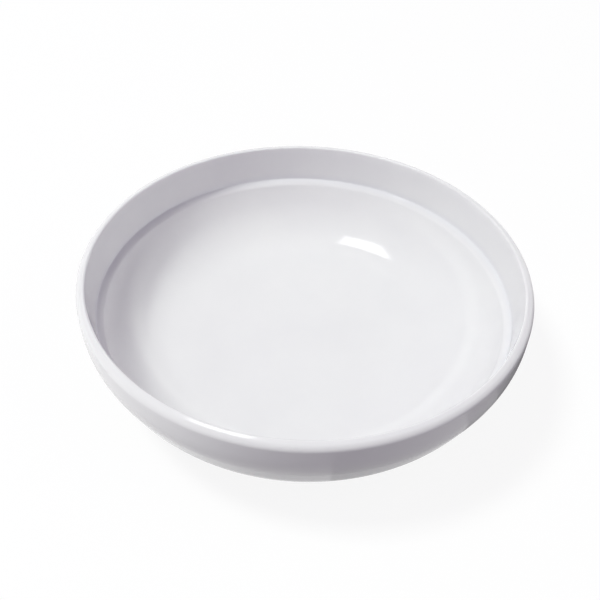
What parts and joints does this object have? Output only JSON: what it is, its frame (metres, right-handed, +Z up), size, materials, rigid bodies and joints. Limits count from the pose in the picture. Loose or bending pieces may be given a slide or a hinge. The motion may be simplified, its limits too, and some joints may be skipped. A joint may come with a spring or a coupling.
{
  "type": "salad bowl",
  "caption": "Round open salad bowl of glossy white ceramic with a rounded lip, a narrow step inside below the rim and a low foot ring.",
  "frame": {"origin": "centre of the plane that the foot ring stands on", "axes": "+Z up along the axis that the bowl is turned about; X and Y are level, and the bowl is the same all round"},
  "size_m": [0.25, 0.25, 0.067],
  "materials": {
    "white_glaze": "gloss white glaze"
  },
  "bodies": {
    "root": {"bowl": "white_glaze"}
  },
  "joints": []
}
